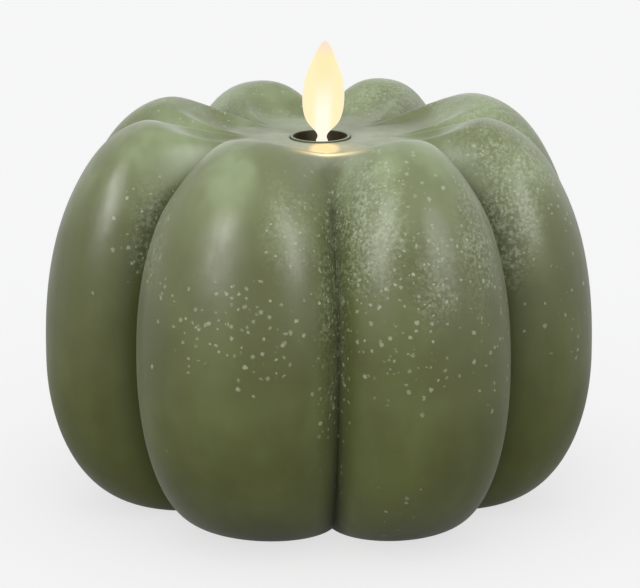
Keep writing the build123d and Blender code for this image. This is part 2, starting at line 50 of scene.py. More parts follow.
# half profiles: height of the widest ring, radii and heights of the widest, crest, foot and dish points,
# and the superellipse powers of the upper quarter
RIDGE = dict(eq=44.0, wide=LOBE_R, crest_r=48.0, crest_z=112.0, up=(1.8, 2.37), foot_r=50.0,
             flat_r=29.0)
GROOVE = dict(eq=54.5, wide=63.2, crest_r=25.0, crest_z=104.2, up=(2.17, 2.33), foot_r=38.7,
              flat_r=19.0)
DOWN = (2.3, 2.0)            # superellipse powers of the lower quarter
DISH_Z = 103.8
NOTCH = 0.9                  # how sharp the valley between two lobes is, from 0 to 1
SOFT_FROM = 40.0             # degrees up the upper quarter between which the valleys soften
SOFT_TO = 72.0
GROOVE_AZIMUTHS = [2.7, 50.1, 91.8, 137.9, 180.2, 228.6, 269.3, 308.8]
GROOVE_BOWS = [0.9, 0.3, 0.0, -0.6, 0.8, 0.0, 0.5, -1.2]
LOBE_SWELL = [0.05, -0.03, 0.06, 0.03, -0.065, 0.0, 0.15, -0.04]
HOLE_R = 8.7
HOLE_EDGE = 0.4
ACROSS_STEPS = 44            # columns of each lobe
ACROSS_CROWDING = 0.92       # how far the columns crowd towards the valleys, from 0 to 1
LOWER_ROWS = 64
LOWER_CROWDING = 1.3         # above 1, the rows crowd towards the foot
UPPER_ROWS = 72
DISH_ROWS = 44
CLEFT_FROM = 0.80            # where the painted shade of a valley starts across a lobe, and over how much it grows
CLEFT_OVER = 0.16
CLEFT_FADE = 0.75            # how much of that painted shade goes where the valley softens
HOLE_ROUND_OUT = 0.15        # the rounded edge of the wick hole
HOLE_ROUND_DOWN = 0.12
LIP_OUTWARD = 1.1            # the lit front lip: its middle, outside the crest of the skin
LIP_HALF = 1.5               # half its width
LIP_END = 0.38               # where it starts across the two front lobes, from 0 to 1

# the hollow behind the skin: radius and height, from the wick hole out and down to the foot
HOLLOW = [(HOLE_R, 98.0), (HOLE_R, 94.0), (20.0, 94.0), (32.0, 92.5), (44.0, 84.0), (51.0, 70.0),
          (54.0, 55.0), (46.0, 43.0), (38.0, 33.0), (34.8, 29.0), (34.8, 12.0), (34.8, 3.4), (36.0, 3.4),
          (36.0, 0.5)]
FOOT_EDGE_R = 36.4


def smooth(t):
    t = min(max(t, 0.0), 1.0)
    return t * t * (3 - 2 * t)


def lower(line, step):
    a = math.pi / 2 * step
    r = line["foot_r"] + (line["wide"] - line["foot_r"]) * math.sin(a) ** (2 / DOWN[0])
    z = line["eq"] * (1 - max(math.cos(a), 0.0) ** (2 / DOWN[1]))
    return r, z


def upper(line, step):
    a = math.pi / 2 * step
    up_r, up_z = line["up"]
    r = line["crest_r"] + (line["wide"] - line["crest_r"]) * max(math.cos(a), 0.0) ** (2 / up_r)
    z = line["eq"] + (line["crest_z"] - line["eq"]) * math.sin(a) ** (2 / up_z)
    return r, z


def dish(line, step):
    r = line["crest_r"] + (HOLE_R + HOLE_EDGE - line["crest_r"]) * step
    way = (line["crest_r"] - r) / (line["crest_r"] - line["flat_r"])
    fall = (1 - math.cos(math.pi * min(way, 1.0))) / 2
    z = line["crest_z"] + (DISH_Z - line["crest_z"]) * fall
    return r, z


def swell(across, soft):
    """How far out and how far up a lobe stands, from 0 in the groove to 1 on the ridge."""
    edge = math.sqrt(1 - NOTCH ** 2)
    sharp = (math.sqrt(1 - (NOTCH * across) ** 2) - edge) / (1 - edge)
    square = across ** 2
    soft_out = 1 - square ** 2 * (3 - 2 * square)
    soft_up = (1 - square) ** 2 * (1 + square)
    return sharp + (soft_out - sharp) * soft, sharp + (soft_up - sharp) * soft


def skin_rows():
    """(ridge point, groove point, softness, shift) of every row from the foot to the wick hole."""
    rows = []
    for k in range(LOWER_ROWS):
        t = (k / LOWER_ROWS) ** LOWER_CROWDING
        rows.append((lower(RIDGE, t), lower(GROOVE, t), 0.0, SKIN_SHIFT_X))
    for k in range(UPPER_ROWS):
        t = k / UPPER_ROWS
        soft = smooth((90 * t - SOFT_FROM) / (SOFT_TO - SOFT_FROM))
        rows.append((upper(RIDGE, t), upper(GROOVE, t), soft, SKIN_SHIFT_X))
    for k in range(DISH_ROWS + 1):
        t = k / DISH_ROWS
        rows.append((dish(RIDGE, t), dish(GROOVE, t), 1.0, SKIN_SHIFT_X * (1 - smooth(t))))
    return rows


def lobe_angles(groove_z):
    """(lobe number, across from -1 to 1, azimuth in radians) of every column of a row."""
    widest = math.pi / 2 * ACROSS_CROWDING
    bend = math.sin(math.pi * min(groove_z / GROOVE["crest_z"], 1.0))
    azimuths = [a + bow * bend for a, bow in zip(GROOVE_AZIMUTHS, GROOVE_BOWS)]
    azimuths.append(azimuths[0] + 360)
    columns = []
    for i in range(len(GROOVE_AZIMUTHS)):
        start = azimuths[i]
        stop = azimuths[i + 1]
        for k in range(ACROSS_STEPS):
            across = math.sin(widest * (2 * k / ACROSS_STEPS - 1)) / math.sin(widest)
            azimuth = math.radians(start + (stop - start) * (across + 1) / 2)
            columns.append((i, across, azimuth))
    return columns


def lit_lip(verts, columns, rows):
    """How brightly each point of the skin shines along the front lip, behind which the flame stands."""
    lit = [0.0] * len(verts)
    count = len(columns)
    crest = LOWER_ROWS + UPPER_ROWS
    for k, (i, across, azimuth) in enumerate(columns):
        towards_front = {0: -across, len(GROOVE_AZIMUTHS) - 1: across}.get(i, 0.0)
        share = smooth((towards_front - LIP_END) / (1 - LIP_END))
        top = Vector(verts[crest * count + k])
        for row in range(crest // 2, rows):
            spot = Vector(verts[row * count + k])
            away = math.copysign((spot - top).length, crest - row) - LIP_OUTWARD
            lit[row * count + k] = share * math.exp(-(away / LIP_HALF) ** 2)
    return lit


def wax_mesh():
    verts = []
    cleft_shade = []
    rows = 0
    for ridge, groove, soft, shift in skin_rows():
        for i, across, azimuth in lobe_angles(groove[1]):
            out, up = swell(across, soft)
            r = groove[0] + (ridge[0] - groove[0]) * out * (1 + LOBE_SWELL[i]) - SKIN_INSET
            z = groove[1] + (ridge[1] - groove[1]) * up
            verts.append((shift + r * math.sin(azimuth), -r * math.cos(azimuth), z))
            # painted shade: the wax darkens towards each valley between two lobes
            valley = smooth((abs(across) - CLEFT_FROM) / CLEFT_OVER)
            cleft_shade.append(valley * (1 - CLEFT_FADE * soft))
        rows += 1
    columns = lobe_angles(0.0)
    lip = lit_lip(verts, columns, rows)
    edge = [(HOLE_R + HOLE_ROUND_OUT, DISH_Z - HOLE_ROUND_DOWN), (HOLE_R, DISH_Z - HOLE_EDGE)]
    for r, z in edge + HOLLOW + [(FOOT_EDGE_R, 0.0)]:
        for i, across, azimuth in columns:
            verts.append((r * math.sin(azimuth), -r * math.cos(azimuth), z))
            cleft_shade.append(0.0)
            lip.append(0.0)
        rows += 1
    count = len(columns)
    faces = []
    for row in range(rows):
        here = row * count
        there = ((row + 1) % rows) * count
        for k in range(count):
            nxt = (k + 1) % count
            faces.append((here + k, here + nxt, there + nxt, there + k))
    mesh = bpy.data.meshes.new("wax_pumpkin")
    mesh.from_pydata([(x * MM, y * MM, z * MM) for x, y, z in verts], [], faces)
    mesh.polygons.foreach_set("use_smooth", [True] * len(mesh.polygons))
    for name, values in (("cleft_shade", cleft_shade), ("lip", lip)):
        mesh.attributes.new(name, "FLOAT", "POINT").data.foreach_set("value", values)
    return mesh


# ---------------------------------------------------------------- node helpers
COLOUR_A, COLOUR_B, COLOUR_RESULT = 6, 7, 2      # sockets of a Mix node that mixes colours
FLOAT_A, FLOAT_B = 2, 3                          # and of one that mixes values
SPOT_CORE = 0.35             # the full-strength core of a spot, as a share of its reach
FINE_GRAIN = 2200.0          # scale of the noise of moulded plastic, and its height in metres
PLASTIC_RELIEF = 0.00006
ROUGHNESS_SPREAD = 0.06


class Nodes:
    def __init__(self, name):
        self.material = bpy.data.materials.new(name)
        self.material.use_nodes = True
        self.tree = self.material.node_tree
        self.bsdf = self.tree.nodes["Principled BSDF"]
        self.place = self.add("ShaderNodeTexCoord").outputs["Object"]

    def add(self, kind, **settings):
        node = self.tree.nodes.new(kind)
        for key, value in settings.items():
            setattr(node, key, value)
        return node

    def feed(self, socket, value):
        if hasattr(value, "is_output"):
            self.tree.links.new(value, socket)
        else:
            socket.default_value = value

    def math(self, operation, a, b=0.0):
        node = self.add("ShaderNodeMath", operation=operation)
        self.feed(node.inputs[0], a)
        self.feed(node.inputs[1], b)
        return node.outputs[0]

    def ramp(self, value, low, high, out_low=0.0, out_high=1.0, shape="SMOOTHSTEP"):
        node = self.add("ShaderNodeMapRange", interpolation_type=shape)
        self.feed(node.inputs["Value"], value)
        self.feed(node.inputs["From Min"], low)
        self.feed(node.inputs["From Max"], high)
        self.feed(node.inputs["To Min"], out_low)
        self.feed(node.inputs["To Max"], out_high)
        return node.outputs["Result"]

    def noise(self, scale, detail, rough, stretch=None):
        node = self.add("ShaderNodeTexNoise")
        node.inputs["Scale"].default_value = scale
        node.inputs["Detail"].default_value = detail
        node.inputs["Roughness"].default_value = rough
        self.feed(node.inputs["Vector"], self.stretched(stretch) if stretch else self.place)
        return node.outputs["Fac"]

    def stretched(self, scale):
        node = self.add("ShaderNodeMapping")
        self.feed(node.inputs["Vector"], self.place)
        node.inputs["Scale"].default_value = scale
        return node.outputs["Vector"]

    def mix(self, factor, a, b, blend="MIX"):
        node = self.add("ShaderNodeMix", data_type="RGBA", blend_type=blend)
        self.feed(node.inputs["Factor"], factor)
        self.feed(node.inputs[COLOUR_A], a)
        self.feed(node.inputs[COLOUR_B], b)
        return node.outputs[COLOUR_RESULT]

    def mix_value(self, factor, a, b):
        node = self.add("ShaderNodeMix", data_type="FLOAT")
        self.feed(node.inputs["Factor"], factor)
        self.feed(node.inputs[FLOAT_A], a)
        self.feed(node.inputs[FLOAT_B], b)
        return node.outputs[0]

    def attribute(self, name):
        return self.add("ShaderNodeAttribute", attribute_name=name).outputs["Fac"]

    def axis(self, name):
        node = self.add("ShaderNodeSeparateXYZ")
        self.feed(node.inputs[0], self.place)
        return node.outputs[name]

    def bump(self, height, strength, distance):
        node = self.add("ShaderNodeBump")
        self.feed(node.inputs["Height"], height)
        node.inputs["Strength"].default_value = strength
        node.inputs["Distance"].default_value = distance
        self.tree.links.new(node.outputs["Normal"], self.bsdf.inputs["Normal"])

    def near(self, centre, reach, core=SPOT_CORE):
        """1 in the core of an ellipsoid of that reach, in millimetres, falling to 0 at its edge."""
        offset = self.add("ShaderNodeVectorMath", operation="SUBTRACT")
        self.feed(offset.inputs[0], self.place)
        offset.inputs[1].default_value = [c * MM for c in centre]
        scaled = self.add("ShaderNodeVectorMath", operation="DIVIDE")
        self.feed(scaled.inputs[0], offset.outputs[0])
        scaled.inputs[1].default_value = [c * MM for c in reach]
        length = self.add("ShaderNodeVectorMath", operation="LENGTH")
        self.feed(length.inputs[0], scaled.outputs[0])
        return self.ramp(length.outputs["Value"], core, 1.0, 1.0, 0.0)

    def patches(self, spots):
        total = None
        for centre, reach, amount in spots:
            spot = self.math("MULTIPLY", self.near(centre, reach), amount)
            total = spot if total is None else self.math("MAXIMUM", total, spot)
        return total

    def set(self, **values):
        for key, value in values.items():
            self.feed(self.bsdf.inputs[key.replace("_", " ")], value)


def rgb(r, g, b):
    """Linear colour of an sRGB one given in 0 to 255, by the sRGB standard's own curve."""
    def line(c):
        c = c / 255
        return c / 12.92 if c <= 0.04045 else ((c + 0.055) / 1.055) ** 2.4
    return (line(r), line(g), line(b), 1.0)


# ---------------------------------------------------------------- wax
# where the pale specks and the bloom are: centre and reach in millimetres, and how dense
SPARSE_SPOTS = [
    ((-22, -74, 66), (26, 32, 20), 0.85),
    ((-36, -66, 71), (16, 24, 12), 0.55),
    ((3, -62, 60), (8, 30, 60), 0.75),
    ((21, -74, 62), (21, 30, 24), 0.80),
    ((42, -58, 62), (14, 26, 30), 0.45),
    ((66, -34, 66), (16, 30, 30), 0.22),
    ((14, -58, 98), (26, 34, 18), 0.70),
    ((-47, -44, 86), (16, 26, 22), 0.60),
    ((56, -26, 98), (26, 34, 26), 0.80),
    ((0, 46, 104), (60, 40, 20), 0.60),
    ((18, -60, 14), (18, 26, 16), 0.22),
    ((-54, -50, 50), (20, 30, 40), 0.06),
]
BLOOM_SPOTS = [
    ((12, -58, 92), (15, 34, 24), 1.00),
    ((30, -70, 80), (10, 26, 18), 0.45),
    ((41, -50, 86), (9, 26, 30), 0.85),
    ((52, -34, 92), (12, 26, 30), 0.95),
    ((56, -18, 104), (26, 30, 16), 0.95),
    ((26, 48, 108), (34, 34, 18), 0.95),
    ((52, 20, 106), (26, 34, 16), 0.80),
    ((-40, 30, 106), (30, 34, 14), 0.30),
    ((-46, -42, 86), (9, 22, 24), 0.60),
    ((-8, -60, 92), (12, 24, 18), 0.40),
    ((3, -58, 70), (7, 24, 40), 0.45),
]
# the flame's light on the wax in front of the hole: centre, bright core and wide spread, in millimetres
GLOW_AT = (1.2, -16.5, 103.9)
GLOW_REACH = (5.2, 10.5, 4.0)
GLOW_SPREAD = (15.0, 13.0, 6.0)
GLOW_CORE = 0.55
PATCH_GLOW = 0.72
WARMTH_GLOW = 0.14
LIP_GLOW = 1.35
# specks and bloom grains: cell in millimetres, and the smallest and largest radius as a share of a cell
SPECKS = (1.95, 0.24, 0.44)
GRAINS = (1.25, 0.28, 0.52)
RAGGED_SCALE = 1100.0        # noise that makes their outlines ragged, and how far it moves them (metres)
RAGGED_SHIFT = 0.0011
SPECK_CORE = 0.45
SPECK_FAINTEST = 0.45
SPECK_PALE = 0.48            # how pale the specks, the grains and the fine frost between them are
GRAIN_PALE = 0.58
FROST_PALE = 0.40
# the wax's noises, some drawn out upwards, and the ramps that cut them: from, to, and the values there
CLOUDS = dict(scale=38.0, detail=4.0, rough=0.55)
CLOUDS_RAMP = (0.35, 0.68)
DRIFT = dict(scale=95.0, detail=3.0, rough=0.5, stretch=(1.0, 1.0, 0.35))
DRIFT_RAMP = (0.5, 0.75)
HAZE = dict(scale=48.0, detail=3.0, rough=0.55, stretch=(1.0, 1.0, 0.45))
HAZE_RAMP = (0.36, 0.66, 0.35, 1.0)
PATCHY = dict(scale=160.0, detail=4.0, rough=0.6)
PATCHY_RAMP = (0.35, 0.65)
SPARSE_RAMP = (0.0, 1.0, 0.35, 1.1)
BLOOM_RAMP = (0.0, 1.0, 0.45, 1.1)
FROST = dict(scale=900.0, detail=3.0, rough=0.6)
FROST_RAMP = (0.40, 0.62)
STREAKS = dict(scale=150.0, detail=3.0, rough=0.6, stretch=(1.0, 1.0, 0.22))
STREAKS_ROUGHNESS = (0.35, 0.7, 0.31, 0.44)
SPECK_ROUGHNESS = 0.7
LUMPS = dict(scale=26.0, detail=2.0, rough=0.4)
SKIN = dict(scale=900.0, detail=3.0, rough=0.5)
WAX_SHADER = dict(Subsurface_Weight=0.15, Subsurface_Scale=0.004, IOR=1.5, Specular_IOR_Level=0.62,
                  Subsurface_Radius=(1.0, 0.9, 0.45), Coat_Weight=0.12, Coat_Roughness=0.32,
                  Sheen_Weight=0.20, Sheen_Roughness=0.5)
DRIFT_SHARE = 0.25
VALLEY_SHADE_SHARE = 0.75
SHOULDER_Z = (0.082, 0.108)  # the shoulders pale between these heights, in metres: partly the wax's own paler tone, partly a painted highlight of the light from above
SHOULDER_SHARE = 0.95
WAX_DARK = rgb(84, 89, 42)
WAX_LIGHT = rgb(94, 100, 52)
WAX_DRIFT = rgb(110, 119, 70)
WAX_SHOULDER_TONE_AND_HIGHLIGHT = rgb(143, 157, 117)
# the colour of the painted shade in the valleys
WAX_VALLEY_SHADE = rgb(66, 73, 22)
WAX_SPECK = rgb(186, 196, 168)
LIGHT_ON_WAX = rgb(238, 190, 112)
LIGHT_ON_LIP = rgb(255, 226, 168)
LUMP_RELIEF = 3.0            # heights of the wax's slow lumps, fine skin and specks, against each other
SKIN_RELIEF = 0.06
SPECK_RELIEF = 0.12
WAX_BUMP = (0.35, 0.0012)    # strength, and height in metres


def speckles(n, cell, low, high, density):
    """Ragged pale specks, one at most in each cell, where a random number is under density."""
    cells = n.add("ShaderNodeTexVoronoi", feature="F1")
    cells.inputs["Scale"].default_value = 1 / (cell * MM)
    ragged = n.add("ShaderNodeTexNoise")
    ragged.inputs["Scale"].default_value = RAGGED_SCALE
    n.feed(ragged.inputs["Vector"], n.place)
    shift = n.add("ShaderNodeVectorMath", operation="SCALE")
    n.feed(shift.inputs[0], ragged.outputs["Color"])
    shift.inputs["Scale"].default_value = RAGGED_SHIFT
    moved = n.add("ShaderNodeVectorMath", operation="ADD")
    n.feed(moved.inputs[0], n.place)
    n.feed(moved.inputs[1], shift.outputs[0])
    n.feed(cells.inputs["Vector"], moved.outputs[0])
    chance = n.add("ShaderNodeSeparateColor")
    n.feed(chance.inputs[0], cells.outputs["Color"])
    present = n.math("LESS_THAN", chance.outputs[0], density)
    size = n.ramp(chance.outputs[1], 0.0, 1.0, low, high, "LINEAR")
    soft = n.math("MULTIPLY", size, SPECK_CORE)
    disc = n.ramp(cells.outputs["Distance"], soft, size, 1.0, 0.0)
    strength = n.ramp(chance.outputs[2], 0.0, 1.0, SPECK_FAINTEST, 1.0, "LINEAR")
    return n.math("MULTIPLY", n.math("MULTIPLY", disc, present), strength)


def wax_material():
    n = Nodes("mottled_green_wax")
    base = n.mix(n.ramp(n.noise(**CLOUDS), *CLOUDS_RAMP), WAX_DARK, WAX_LIGHT)
    drift = n.ramp(n.noise(**DRIFT), *DRIFT_RAMP)
    base = n.mix(n.math("MULTIPLY", drift, DRIFT_SHARE), base, WAX_DRIFT)
    haze = n.ramp(n.noise(**HAZE), *HAZE_RAMP)
    # paler towards the top: partly the wax's mottled tone, partly painted highlight and sheen from above
    pale_tone_and_highlight = n.math("MULTIPLY", n.ramp(n.axis("Z"), *SHOULDER_Z, 0.0, SHOULDER_SHARE), haze)
    base = n.mix(pale_tone_and_highlight, base, WAX_SHOULDER_TONE_AND_HIGHLIGHT)
    # painted shade along the valleys between the lobes
    base = n.mix(n.math("MULTIPLY", n.attribute("cleft_shade"), VALLEY_SHADE_SHARE), base, WAX_VALLEY_SHADE)
    patchy = n.ramp(n.noise(**PATCHY), *PATCHY_RAMP)
    sparse = n.math("MULTIPLY", n.patches(SPARSE_SPOTS), n.ramp(patchy, *SPARSE_RAMP))
    bloom = n.math("MULTIPLY", n.patches(BLOOM_SPOTS), n.ramp(patchy, *BLOOM_RAMP))
    specks = n.math("MULTIPLY", speckles(n, *SPECKS, sparse), SPECK_PALE)
    grains = n.math("MULTIPLY", speckles(n, *GRAINS, bloom), GRAIN_PALE)
    frost = n.math("MULTIPLY", bloom, n.ramp(n.noise(**FROST), *FROST_RAMP))
    pale = n.math("MAXIMUM", n.math("MAXIMUM", specks, grains), n.math("MULTIPLY", frost, FROST_PALE))
    streaks = n.ramp(n.noise(**STREAKS), *STREAKS_ROUGHNESS)
    n.set(Base_Color=n.mix(pale, base, WAX_SPECK))
    n.set(Roughness=n.mix_value(pale, streaks, SPECK_ROUGHNESS), **WAX_SHADER)
    warmth = n.math("MULTIPLY", n.near(GLOW_AT, GLOW_SPREAD), WARMTH_GLOW)
    patch = n.math("MULTIPLY", n.near(GLOW_AT, GLOW_REACH, GLOW_CORE), PATCH_GLOW)
    lip = n.math("MULTIPLY", n.attribute("lip"), LIP_GLOW)
    n.set(Emission_Color=n.mix(lip, LIGHT_ON_WAX, LIGHT_ON_LIP))
    n.set(Emission_Strength=n.math("MAXIMUM", n.math("ADD", patch, warmth), lip))
    lumps = n.math("MULTIPLY", n.noise(**LUMPS), LUMP_RELIEF)
    skin = n.math("MULTIPLY", n.noise(**SKIN), SKIN_RELIEF)
    relief = n.math("ADD", n.math("ADD", lumps, skin), n.math("MULTIPLY", pale, SPECK_RELIEF))
    n.bump(relief, *WAX_BUMP)
    return n.material


# ---------------------------------------------------------------- the other materials
# the flame, in metres: heights between which its colours change, and distances from its middle
FLAME_PIVOT_Z = 0.0885
FLAME_LEAN = 0.035           # how far the middle of the glow leans to the right, for each metre up
FLAME_STEM_Z = (0.088, 0.104)
FLAME_RIM_Z = (0.106, 0.120)
FLAME_HALO_Z = (0.106, 0.122)
FLAME_CORE_Z = (0.110, 0.124)
FLAME_TIP_Z = (0.1265, 0.1315)
FLAME_CORE_TO_HALO = (0.0010, 0.0036)
FLAME_HALO_TO_RIM = (0.0044, 0.0060)
FLAME_GLOW = (0.05, 0.92)    # strength of its light below the stem and above it
FLAME_CORE = (rgb(253, 247, 232), rgb(250, 228, 176))       # each colour low down and high up
FLAME_HALO = (rgb(252, 236, 190), rgb(250, 232, 186))
FLAME_RIM = (rgb(246, 226, 196), rgb(244, 232, 204))
FLAME_TIP = rgb(232, 216, 200)
FLAME_PLASTIC = rgb(120, 100, 70)


def flame_material():
    n = Nodes("lit_flame_plastic")
    height = n.axis("Z")
    middle = n.math("MULTIPLY", n.math("SUBTRACT", height, FLAME_PIVOT_Z), FLAME_LEAN)
    aside = n.math("ABSOLUTE", n.math("SUBTRACT", n.axis("X"), middle))
    core = n.mix(n.ramp(height, *FLAME_CORE_Z), *FLAME_CORE)
    rim = n.mix(n.ramp(height, *FLAME_RIM_Z), *FLAME_RIM)
    halo = n.mix(n.ramp(height, *FLAME_HALO_Z), *FLAME_HALO)
    glow = n.mix(n.ramp(aside, *FLAME_CORE_TO_HALO), core, halo)
    glow = n.mix(n.ramp(aside, *FLAME_HALO_TO_RIM), glow, rim)
    glow = n.mix(n.ramp(height, *FLAME_TIP_Z), glow, FLAME_TIP)
    n.set(Base_Color=FLAME_PLASTIC, Roughness=0.5, Emission_Color=glow)
    n.set(Emission_Strength=n.ramp(height, *FLAME_STEM_Z, *FLAME_GLOW))
    n.bump(n.noise(260.0, 2.0, 0.4), 0.15, 0.0004)
    return n.material


def plastic(name, colour, dark, roughness, grain=FINE_GRAIN, relief=PLASTIC_RELIEF):
    n = Nodes(name)
    patchy = n.ramp(n.noise(120.0, 3.0, 0.5), 0.3, 0.7)
    n.set(Base_Color=n.mix(patchy, colour, dark))
    fine = n.noise(grain, 2.0, 0.5)
    smoothest = roughness - ROUGHNESS_SPREAD
    roughest = roughness + ROUGHNESS_SPREAD
    n.set(Roughness=n.ramp(fine, 0.3, 0.7, smoothest, roughest, "LINEAR"))
    n.bump(fine, 0.4, relief)
    return n.material


# radii in metres between which the painted shade inside the hole turns to the rim, and the rim to its
# outside, darkened by a painted shadow in the gap against the wax
COLLAR_INSIDE_R = (0.00780, 0.00798)
COLLAR_OUTSIDE_R = (0.00842, 0.00858)


def collar_material():
    n = Nodes("grey_green_collar_plastic")
    flat = n.add("ShaderNodeVectorMath", operation="MULTIPLY")
    n.feed(flat.inputs[0], n.place)
    flat.inputs[1].default_value = (1.0, 1.0, 0.0)
    length = n.add("ShaderNodeVectorMath", operation="LENGTH")
    n.feed(length.inputs[0], flat.outputs[0])
    radius = length.outputs["Value"]
    # painted shade down inside the collar, where the hole is shadowed
    shade_mottle = n.ramp(n.noise(300.0, 3.0, 0.5), 0.35, 0.65)
    painted_shade_inside = n.mix(shade_mottle, rgb(46, 42, 26), rgb(66, 58, 38))
    colour = n.mix(n.ramp(radius, *COLLAR_INSIDE_R), painted_shade_inside, rgb(140, 149, 124))
    # painted shadow in the gap between the collar and the wax
    colour = n.mix(n.ramp(radius, *COLLAR_OUTSIDE_R), colour, rgb(78, 86, 66))
    fine = n.noise(FINE_GRAIN, 2.0, 0.5)
    n.set(Base_Color=colour, Roughness=n.ramp(fine, 0.3, 0.7, 0.36, 0.48, "LINEAR"))
    n.bump(fine, 0.4, PLASTIC_RELIEF)
    return n.material


STREAK_SHADE = 0.72
STREAK_ROUGHNESS = 0.16


def metal(name, colour, roughness, stretch=(1.0, 1.0, 12.0)):
    n = Nodes(name)
    streaks = n.noise(1400.0, 3.0, 0.6, stretch=stretch)
    darker = tuple(c * STREAK_SHADE for c in colour[:3]) + (1.0,)
    n.set(Base_Color=n.mix(n.ramp(streaks, 0.3, 0.7), darker, colour), Metallic=1.0)
    n.set(Roughness=n.ramp(streaks, 0.3, 0.7, roughness, roughness + STREAK_ROUGHNESS, "LINEAR"))
    n.bump(streaks, 0.2, 0.00004)
    return n.material


def copper_winding():
    n = Nodes("enamelled_copper")
    wave = n.add("ShaderNodeTexWave", wave_type="BANDS", bands_direction="Z")
    n.feed(wave.inputs["Vector"], n.place)
    wave.inputs["Scale"].default_value = 900.0
    wave.inputs["Distortion"].default_value = 0.6
    turns = wave.outputs["Fac"]
    n.set(Base_Color=n.mix(turns, rgb(96, 42, 20), rgb(196, 112, 58)), Metallic=1.0)
    n.set(Roughness=0.3)
    n.bump(turns, 0.8, 0.0001)
    return n.material


def board_material():
    n = Nodes("green_circuit_board")
    tracks = n.add("ShaderNodeTexBrick")
    n.feed(tracks.inputs["Vector"], n.stretched((260.0, 260.0, 260.0)))
    tracks.inputs["Mortar Size"].default_value = 0.03
    lines = tracks.outputs["Fac"]
    n.set(Base_Color=n.mix(lines, rgb(18, 84, 46), rgb(30, 110, 62)), Roughness=0.32)
    n.set(Coat_Weight=0.4)
    n.bump(lines, 0.3, 0.00005)
    return n.material


CELL_SLEEVE_END = (0.0262, 0.0266)        # metres along the cell from its middle: the bare metal ends
CELL_BAND_EDGE = (0.0125, 0.0127)         # and the brass-coloured band


def cell_material():
    n = Nodes("dark_cell_sleeve")
    sleeve = n.ramp(n.math("ABSOLUTE", n.axis("X")), *CELL_SLEEVE_END)
    scuffs = n.ramp(n.noise(500.0, 5.0, 0.7, stretch=(0.3, 1.0, 1.0)), 0.55, 0.8)
    wrap = n.mix(scuffs, rgb(34, 36, 40), rgb(74, 76, 80))
    band = n.ramp(n.axis("X"), *CELL_BAND_EDGE)
    wrap = n.mix(n.math("MULTIPLY", band, 0.6), wrap, rgb(150, 118, 52))
    n.set(Base_Color=n.mix(sleeve, wrap, rgb(190, 190, 188)), Metallic=sleeve)
    n.set(Roughness=n.ramp(scuffs, 0.0, 1.0, 0.28, 0.45, "LINEAR"))
    n.bump(scuffs, 0.1, 0.00005)
    return n.material


def led_material():
    n = Nodes("lit_led_epoxy")
    swirl = n.noise(700.0, 2.0, 0.5)
    n.set(Base_Color=n.mix(swirl, rgb(255, 226, 150), rgb(255, 240, 200)), Roughness=0.12)
    n.set(Emission_Color=rgb(255, 214, 140), Emission_Strength=1.5)
    return n.material


def insulation(name, colour, dark):
    return plastic(name, colour, dark, 0.5, 1600.0, 0.00003)


def floor_material():
    n = Nodes("pale_studio_floor")
    faint = n.noise(3.0, 2.0, 0.5)
    n.set(Base_Color=n.mix(faint, *FLOOR_GREYS), Roughness=0.9)
    n.set(Specular_IOR_Level=0.0, Emission_Color=rgb(255, 255, 255), Emission_Strength=FLOOR_GLOW)
    return n.material


def dress_nodes():
    ivory = plastic("ivory_moulded_plastic", rgb(226, 220, 200), rgb(214, 208, 188), 0.5)
    black = plastic("black_moulded_plastic", rgb(34, 34, 33), rgb(26, 26, 25), 0.48)
    collar = collar_material()
    natural = plastic("natural_bobbin_plastic", rgb(222, 216, 198), rgb(210, 204, 186), 0.45)
    chip = plastic("black_chip_resin", rgb(28, 28, 30), rgb(20, 20, 22), 0.6)
    steel = metal("plain_steel", (0.62, 0.62, 0.63, 1.0), 0.28)
    nickel = metal("nickel_plate", (0.72, 0.71, 0.68, 1.0), 0.2, (1.0, 10.0, 1.0))
    can = metal("aluminium_can", (0.7, 0.71, 0.73, 1.0), 0.3)
    resistor = plastic("resistor_glaze", rgb(30, 30, 34), rgb(48, 48, 52), 0.35)
    red = insulation("red_insulation", rgb(178, 26, 20), rgb(150, 20, 16))
    dark = insulation("black_insulation", rgb(30, 30, 30), rgb(22, 22, 22))
    board = board_material()
    copper = copper_winding()
    by_slot = {
        "collar_plastic": collar, "flame_plastic": flame_material(), "magnet_plate": nickel,
        "steel": steel, "module_plastic": black, "led_epoxy": led_material(),
        "bobbin_plastic": natural, "copper": copper, "board": board, "chip_plastic": chip,
        "capacitor_can": can, "resistor_ceramic": resistor, "base_plastic": ivory,
        "cell_sleeve": cell_material(), "contact_metal": nickel, "switch_plastic": black,
        "lead_red": red, "lead_black": dark,
    }
    for entry in frame["record"]["subparts"]:
        material = by_slot.get(entry["material_slot"])
        if material is None:
            continue
        mesh = NODES[entry["node"]].data
        mesh.materials.clear()
        mesh.materials.append(material)


# ---------------------------------------------------------------- camera, floor and light
CAMERA_AIM = Vector((-0.00025, 0.0, 0.057))
CAMERA_DISTANCE = 0.7416
CAMERA_ELEVATION = math.radians(15.733)
CAMERA_PIVOT_Z = 0.055
CAMERA_ROLL = math.radians(-0.234)
CAMERA_LENS = 142.9
CAMERA_SENSOR = 36.0
CAMERA_CLIP = 0.05
